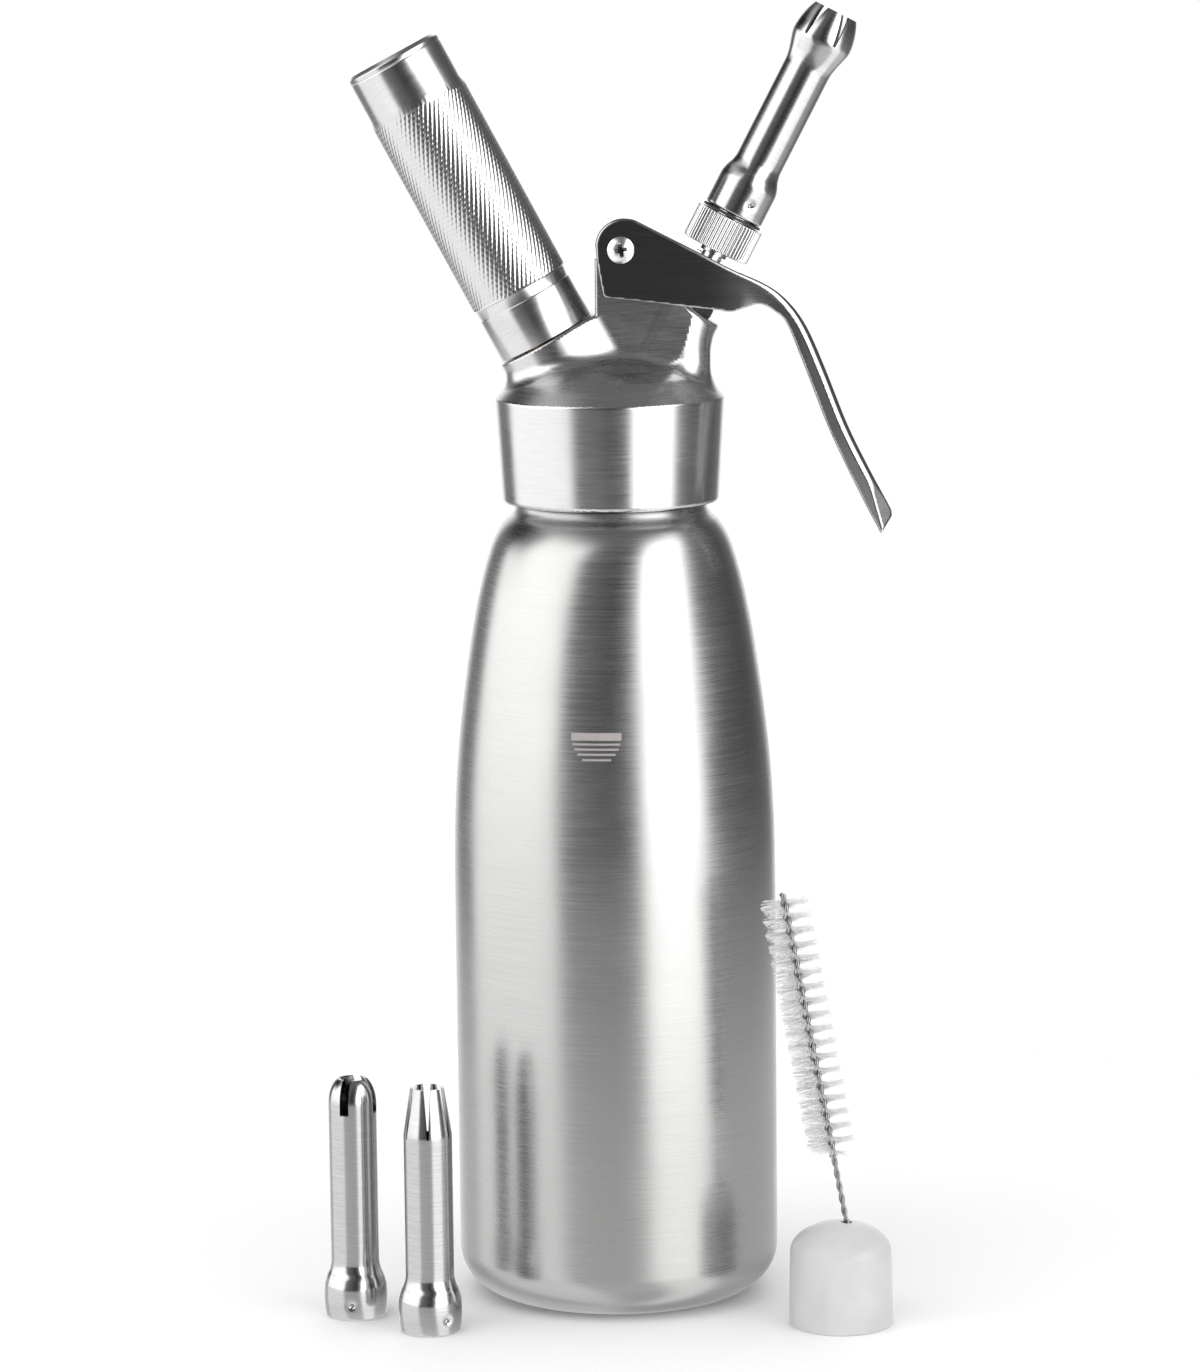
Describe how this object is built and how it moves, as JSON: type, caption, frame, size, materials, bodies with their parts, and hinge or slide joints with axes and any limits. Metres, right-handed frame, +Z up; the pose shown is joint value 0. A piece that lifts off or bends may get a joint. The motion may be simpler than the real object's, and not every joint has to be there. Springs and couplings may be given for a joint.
{
  "type": "whipped cream dispenser",
  "caption": "Steel bottle with a screw-on cast head, a tilted gas cartridge holder, a lever valve and a slotted nozzle, with spare nozzles and a cleaning brush in a cap.",
  "frame": {"origin": "centre of the bottle's flat base, where the bottle stands", "axes": "+Z up along the bottle, +X to the lever's side, +Y away from the viewer of the picture"},
  "size_m": [0.1624, 0.1055, 0.3672],
  "materials": {
    "brushed_steel": "fine brushing round the bottle",
    "polished_aluminium": "polished casting",
    "knurled_aluminium": "turned and knurled, satin",
    "lever_steel": "mirror polished",
    "polished_steel": "polished",
    "nozzle_steel": "polished",
    "cartridge_steel": "zinc-plated",
    "brass": "turned",
    "black_rubber": "matte",
    "white_plastic": "milky, soft sheen",
    "white_nylon": "thin translucent strands"
  },
  "bodies": {
    "bottle": {"bottle": "brushed_steel"},
    "head_seal": {"head_gasket": "black_rubber"},
    "head": {"head_casting": "polished_aluminium", "charger_port": "brass", "piercing_pin": "polished_steel", "port_gasket": "black_rubber", "valve_gland": "brass", "stem_o_ring": "black_rubber", "valve_washer": "black_rubber", "valve_spring": "polished_steel", "hinge_screw": "polished_steel", "hinge_nut": "polished_steel"},
    "charger": {"charger": "cartridge_steel"},
    "holder": {"charger_holder": "knurled_aluminium"},
    "lever": {"lever": "lever_steel"},
    "valve": {"valve_stem": "polished_steel", "valve_seal": "black_rubber"},
    "adaptor_ring": {"adaptor_seal": "black_rubber"},
    "adaptor": {"adaptor": "knurled_aluminium"},
    "nozzle_ring": {"nozzle_seal": "black_rubber"},
    "nozzle": {"tulip_nozzle": "nozzle_steel", "tulip_insert": "brass"},
    "dome_spare": {"dome_nozzle": "nozzle_steel", "dome_insert": "brass"},
    "star_spare": {"star_nozzle": "nozzle_steel", "star_insert": "brass"},
    "cap": {"brush_cap": "white_plastic"},
    "brush": {"brush_wire": "polished_steel", "brush_bristles": "white_nylon"}
  },
  "joints": [
    {"name": "head_turn", "type": "hinge", "parent": "head_seal", "child": "head", "pos_m": [0, 0, 0.24], "axis": [0, 0, 1], "range_deg": [0, 540]},
    {"name": "head_rise", "type": "slide", "parent": "bottle", "child": "head_seal", "axis": [0, 0, 1], "range_m": [0, 0.00601]},
    {"name": "holder_turn", "type": "hinge", "parent": "charger", "child": "holder", "pos_m": [-0.01777, 0, 0.27428], "axis": [-0.4695, 0, 0.8829], "range_deg": [0, 722]},
    {"name": "charger_rise", "type": "slide", "parent": "head", "child": "charger", "axis": [-0.4695, 0, 0.8829], "range_m": [0, 0.005]},
    {"name": "lever_squeeze", "type": "hinge", "parent": "head", "child": "lever", "pos_m": [0.0034, 0, 0.2994], "axis": [0, 1, 0], "range_deg": [0, 8], "stiffness_Nm_per_rad": 2, "springref_deg": -5.73, "deforming": ["valve_spring"]},
    {"name": "valve_push", "type": "slide", "parent": "head", "child": "valve", "axis": [-0.4617, 0, -0.887], "range_m": [0, 0.0034]},
    {"name": "adaptor_turn", "type": "hinge", "parent": "adaptor_ring", "child": "adaptor", "pos_m": [0.0215, 0, 0.2822], "axis": [0.4617, 0, 0.887], "range_deg": [0, 722]},
    {"name": "adaptor_rise", "type": "slide", "parent": "valve", "child": "adaptor_ring", "axis": [0.4617, 0, 0.887], "range_m": [0, 0.004]},
    {"name": "nozzle_turn", "type": "hinge", "parent": "nozzle_ring", "child": "nozzle", "pos_m": [0.0215, 0, 0.2822], "axis": [0.4617, 0, 0.887], "range_deg": [0, 722]},
    {"name": "nozzle_rise", "type": "slide", "parent": "adaptor", "child": "nozzle_ring", "axis": [0.4617, 0, 0.887], "range_m": [0, 0.004]},
    {"name": "dome_lift", "type": "slide", "parent": "bottle", "child": "dome_spare", "axis": [0, 0, 1], "range_m": [0, 0.05]},
    {"name": "star_lift", "type": "slide", "parent": "bottle", "child": "star_spare", "axis": [0, 0, 1], "range_m": [0, 0.05]},
    {"name": "cap_lift", "type": "slide", "parent": "bottle", "child": "cap", "axis": [0, 0, 1], "range_m": [0, 0.05]},
    {"name": "brush_pull", "type": "slide", "parent": "cap", "child": "brush", "axis": [-0.1822, 0, 0.9833], "range_m": [0, 0.05]}
  ],
  "couplings": [
    {"joint": "head_rise", "follows": "head_turn", "m_per_rad": 0.00063662},
    {"joint": "holder_turn", "follows": "charger_rise", "rad_per_m": 2513.3},
    {"joint": "valve_push", "follows": "lever_squeeze", "m_per_rad": 0.024},
    {"joint": "adaptor_turn", "follows": "adaptor_rise", "rad_per_m": 3141.6},
    {"joint": "nozzle_turn", "follows": "nozzle_rise", "rad_per_m": 3141.6}
  ]
}
